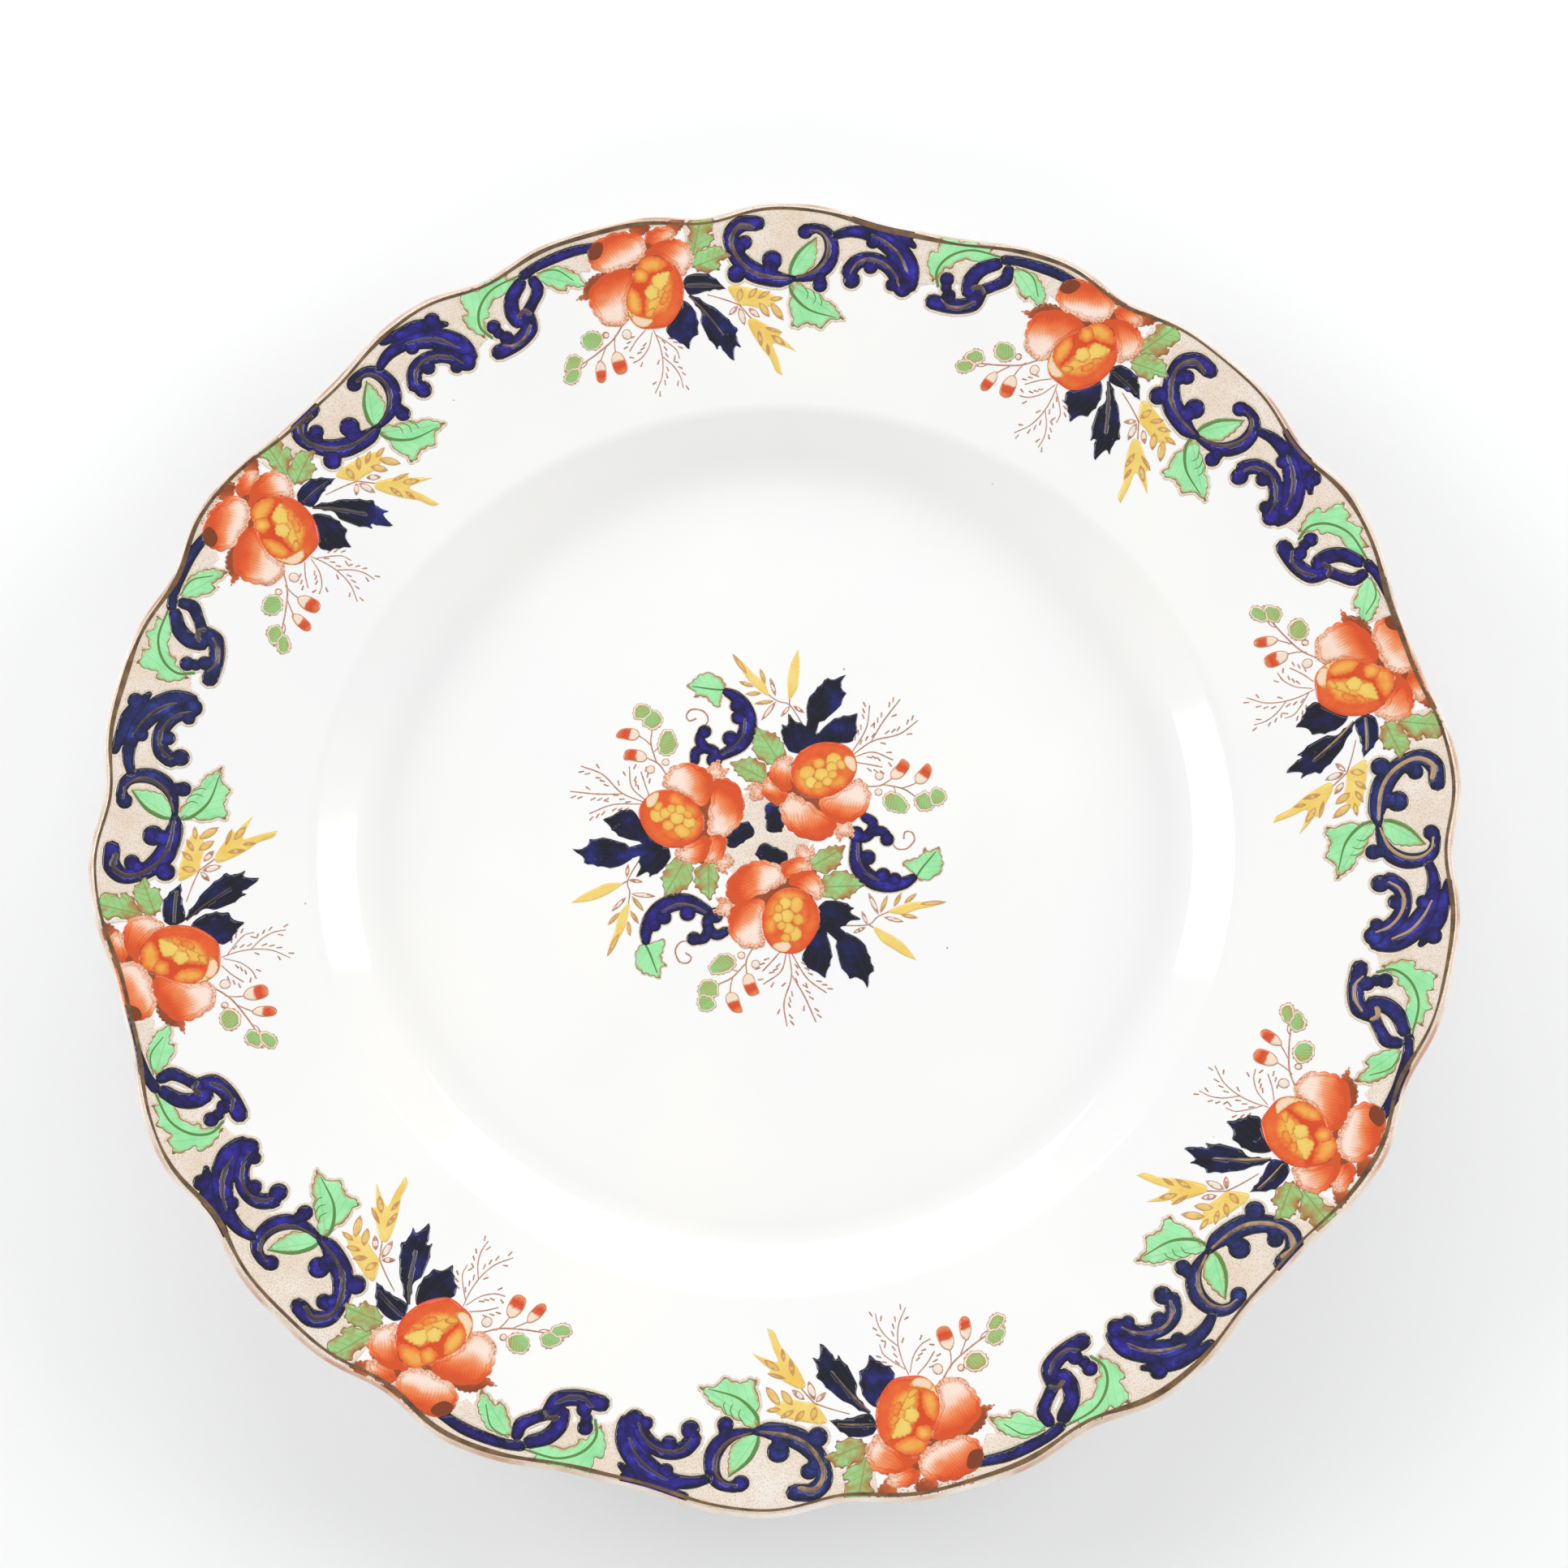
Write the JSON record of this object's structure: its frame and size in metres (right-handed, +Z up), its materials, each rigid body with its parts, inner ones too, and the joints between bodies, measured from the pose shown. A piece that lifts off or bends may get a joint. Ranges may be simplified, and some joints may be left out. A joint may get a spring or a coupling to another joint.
{
  "type": "dinner plate",
  "caption": "Round china dinner plate: flat well, stepped shoulder, wide sloping rim with a scalloped gilt edge, low foot ring, printed floral border and centre bouquet.",
  "frame": {"origin": "centre of the plane that the foot ring stands on", "axes": "+Z up, out of the well; +Y to the top of the plate as it is shown on display; +X to its right"},
  "size_m": [0.265, 0.2654, 0.0223],
  "materials": {
    "china": "gloss white glaze",
    "bare_foot": "unglazed, wiped and fired",
    "gilt": "worn gilt line, fired on",
    "edge_stipple": "gloss on-glaze print",
    "ground_stipple": "gloss on-glaze print",
    "cobalt": "gloss on-glaze enamel",
    "cobalt_dark": "gloss on-glaze enamel",
    "rose_orange": "gloss on-glaze enamel",
    "heart_yellow": "gloss on-glaze enamel",
    "leaf_olive": "gloss on-glaze enamel",
    "leaf_mint": "gloss on-glaze enamel",
    "sprig_yellow": "gloss on-glaze enamel",
    "bud_orange": "gloss on-glaze enamel",
    "bud_leaf_green": "gloss on-glaze enamel",
    "rust_line": "gloss on-glaze print"
  },
  "bodies": {
    "root": {"china_body": "china", "foot_ring": "bare_foot", "gilt_edge_line": "gilt", "edge_print_band": "edge_stipple", "printed_ground": "ground_stipple", "cobalt_c_scrolls": "cobalt", "cobalt_loop_scrolls": "cobalt", "cobalt_crest_scrolls": "cobalt", "cobalt_hook_scrolls": "cobalt", "cobalt_bars": "cobalt", "cobalt_leaves": "cobalt_dark", "scroll_leaves": "leaf_mint", "rose_leaves": "leaf_olive", "rose_petals": "rose_orange", "rose_hearts": "heart_yellow", "yellow_sprigs": "sprig_yellow", "rose_buds": "bud_orange", "bud_leaves": "bud_leaf_green", "berry_stems": "rust_line", "fern_sprays": "rust_line", "centre_ground": "ground_stipple", "centre_cobalt_scrolls": "cobalt", "centre_cobalt_buds": "cobalt", "centre_cobalt_leaves": "cobalt_dark", "centre_scroll_leaves": "leaf_mint", "centre_rose_leaves": "leaf_olive", "centre_rose_petals": "rose_orange", "centre_rose_hearts": "heart_yellow", "centre_yellow_sprigs": "sprig_yellow", "centre_rose_buds": "bud_orange", "centre_bud_leaves": "bud_leaf_green", "centre_berry_stems": "rust_line", "centre_fern_sprays": "rust_line"}
  },
  "joints": []
}
